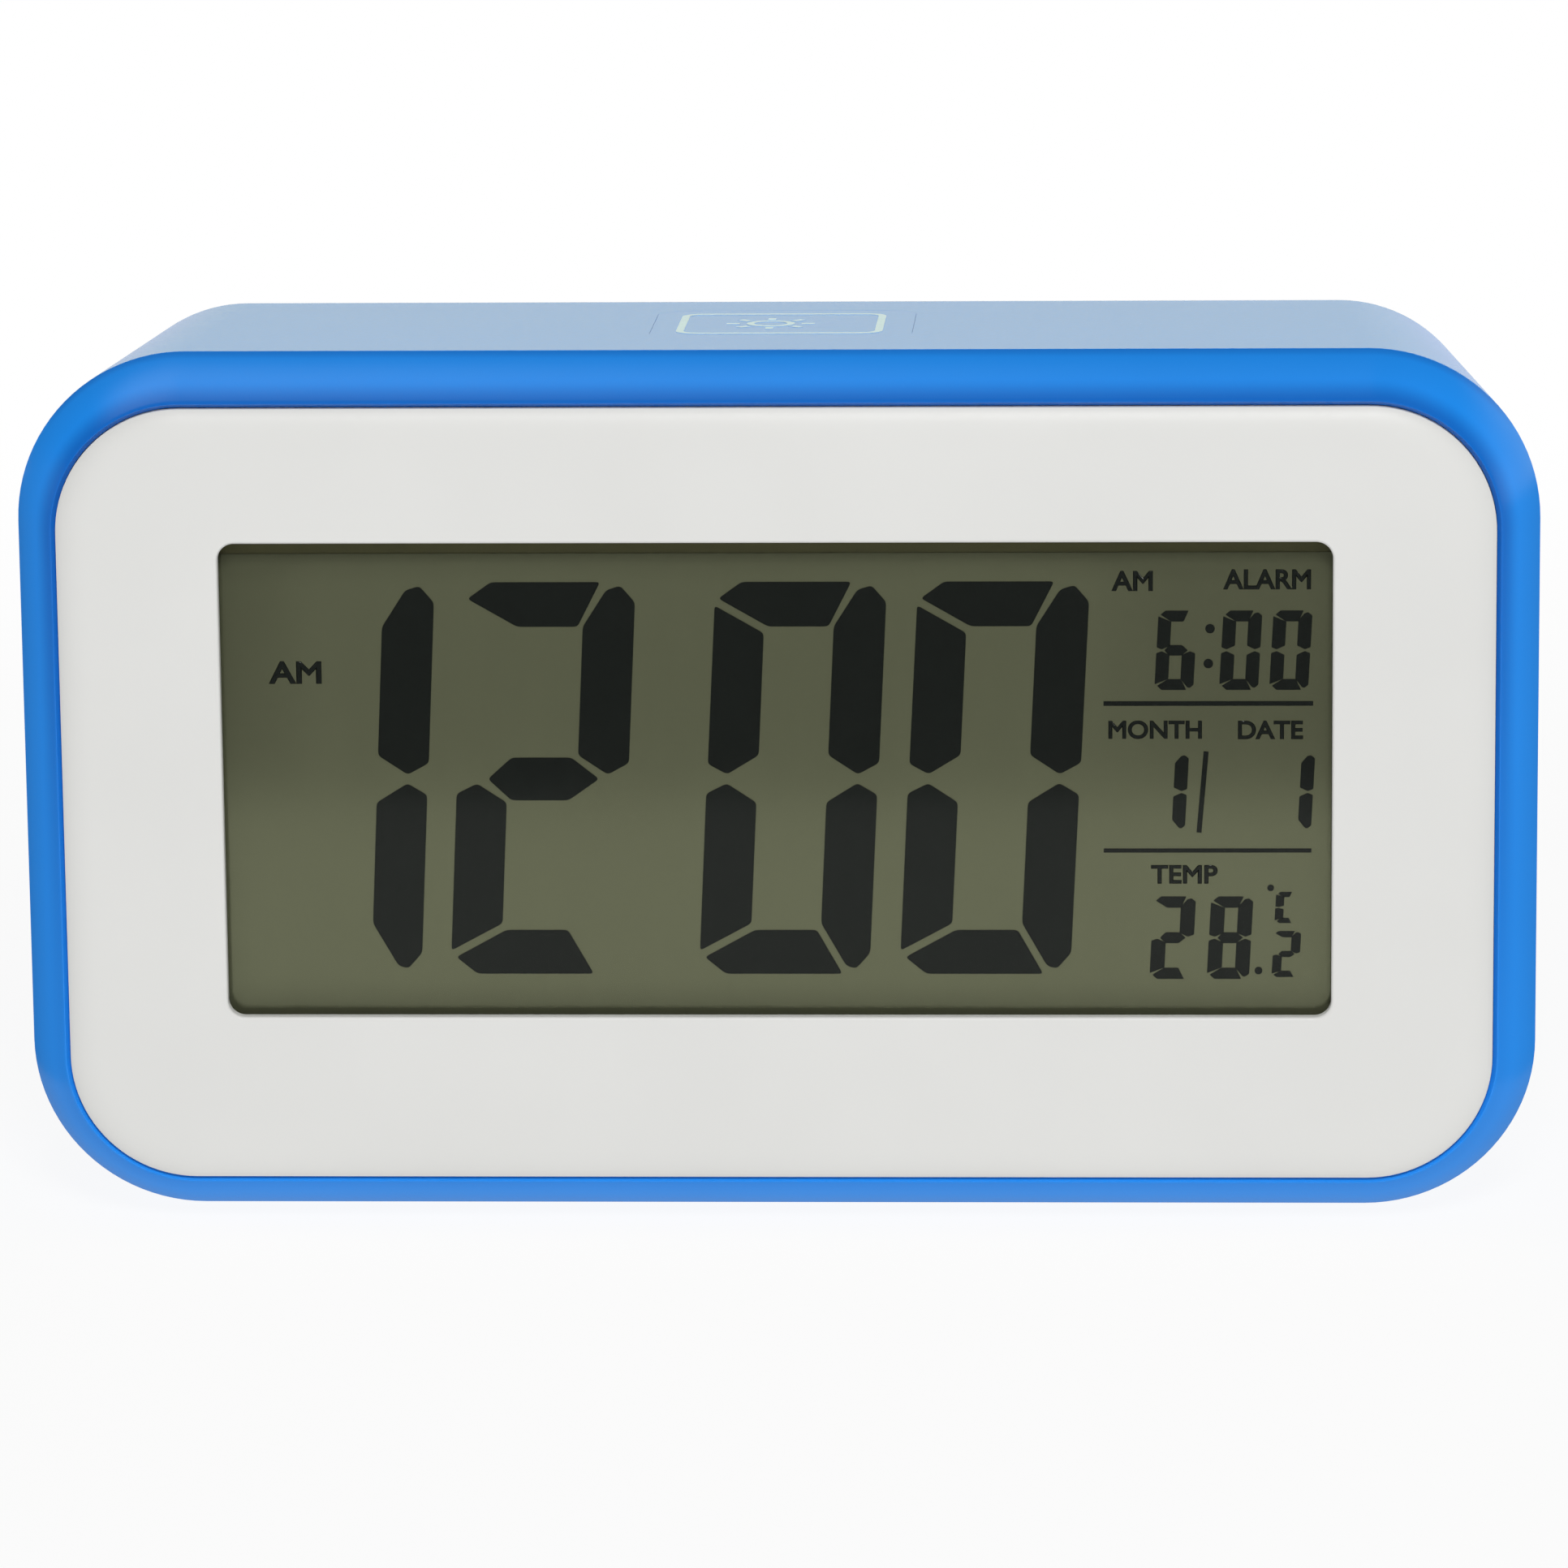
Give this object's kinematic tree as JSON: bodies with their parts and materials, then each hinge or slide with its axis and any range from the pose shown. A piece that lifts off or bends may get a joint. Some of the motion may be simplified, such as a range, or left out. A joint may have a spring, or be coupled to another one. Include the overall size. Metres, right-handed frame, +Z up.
{
  "type": "digital alarm clock",
  "caption": "Free-standing table alarm clock: rounded oblong case with a bevelled ring, recessed liquid crystal display, top snooze key, rear keys and a cell bay with a hinged door.",
  "frame": {"origin": "on the table, under the middle of the clock's bounding box", "axes": "+X to the right seen from the front, +Y towards the back, +Z up; the display faces -Y"},
  "size_m": [0.135, 0.0468, 0.0786],
  "materials": {
    "blue_plastic": "satin moulded blue plastic",
    "white_plastic": "fine matte moulded white plastic",
    "clear_plastic": "clear polished plastic",
    "display_glass": "olive reflective liquid crystal glass",
    "foot_rubber": "soft dark rubber",
    "contact_rubber": "layered conductive rubber",
    "plated_steel": "bright nickel plate",
    "board_laminate": "green board lacquer",
    "black_plastic": "black moulded plastic",
    "buzzer_brass": "rolled brass",
    "buzzer_ceramic": "silvered fired ceramic",
    "cell_jacket": "plain lacquered cell jacket",
    "grey_cable": "soft grey flat cable",
    "red_cable": "soft red insulation",
    "black_cable": "soft black insulation"
  },
  "bodies": {
    "clock_body": {"rear_case": "blue_plastic", "front_ring": "blue_plastic", "front_panel": "white_plastic", "display_lens": "clear_plastic", "foot_front_left": "foot_rubber", "foot_front_right": "foot_rubber", "foot_rear_left": "foot_rubber", "foot_rear_right": "foot_rubber", "housing_screw_1": "plated_steel", "housing_screw_2": "plated_steel", "housing_screw_3": "plated_steel", "housing_screw_4": "plated_steel", "display_panel": "display_glass", "light_guide": "clear_plastic", "reflector_sheet": "white_plastic", "backlight_led_left": "white_plastic", "backlight_led_right": "white_plastic", "contact_strip_lower": "contact_rubber", "contact_strip_upper": "contact_rubber", "display_frame": "white_plastic", "main_board": "board_laminate", "board_screw_1": "plated_steel", "board_screw_2": "plated_steel", "board_screw_3": "plated_steel", "board_screw_4": "plated_steel", "chip_blob": "black_plastic", "crystal": "plated_steel", "thermistor": "black_plastic", "key_board": "board_laminate", "mode_switch": "black_plastic", "set_switch": "black_plastic", "up_switch": "black_plastic", "down_switch": "black_plastic", "alarm_switch": "plated_steel", "key_board_screw_1": "plated_steel", "key_board_screw_2": "plated_steel", "key_ribbon": "grey_cable", "snooze_board": "board_laminate", "snooze_switch": "black_plastic", "snooze_board_screw_1": "plated_steel", "snooze_board_screw_2": "plated_steel", "buzzer_plate": "buzzer_brass", "buzzer_element": "buzzer_ceramic", "battery_1": "cell_jacket", "battery_2": "cell_jacket", "battery_3": "cell_jacket", "contact_positive": "plated_steel", "contact_negative": "plated_steel", "contact_link_left": "plated_steel", "contact_link_right": "plated_steel", "battery_lead_red": "red_cable", "battery_lead_black": "black_cable"},
    "snooze": {"snooze_key": "blue_plastic"},
    "mode": {"mode_button": "white_plastic"},
    "set": {"set_button": "white_plastic"},
    "up": {"up_button": "white_plastic"},
    "down": {"down_button": "white_plastic"},
    "alarm_slider": {"alarm_knob": "white_plastic"},
    "door": {"battery_door": "blue_plastic"}
  },
  "joints": [
    {"name": "snooze_press", "type": "slide", "parent": "clock_body", "child": "snooze", "axis": [0, 0, -1], "range_m": [0, 0.0008], "stiffness_N_per_m": 400, "springref_m": -0.0005},
    {"name": "mode_press", "type": "slide", "parent": "clock_body", "child": "mode", "axis": [0, -1, 0], "range_m": [0, 0.0005], "stiffness_N_per_m": 400, "springref_m": -0.0005},
    {"name": "set_press", "type": "slide", "parent": "clock_body", "child": "set", "axis": [0, -1, 0], "range_m": [0, 0.0005], "stiffness_N_per_m": 400, "springref_m": -0.0005},
    {"name": "up_press", "type": "slide", "parent": "clock_body", "child": "up", "axis": [0, -1, 0], "range_m": [0, 0.0005], "stiffness_N_per_m": 400, "springref_m": -0.0005},
    {"name": "down_press", "type": "slide", "parent": "clock_body", "child": "down", "axis": [0, -1, 0], "range_m": [0, 0.0005], "stiffness_N_per_m": 400, "springref_m": -0.0005},
    {"name": "alarm_slide", "type": "slide", "parent": "clock_body", "child": "alarm_slider", "axis": [1, 0, 0], "range_m": [0, 0.004]},
    {"name": "door_hinge", "type": "hinge", "parent": "clock_body", "child": "door", "pos_m": [0, 0.0226, 0.0086], "axis": [-1, 0, 0], "range_deg": [0, 75]}
  ]
}
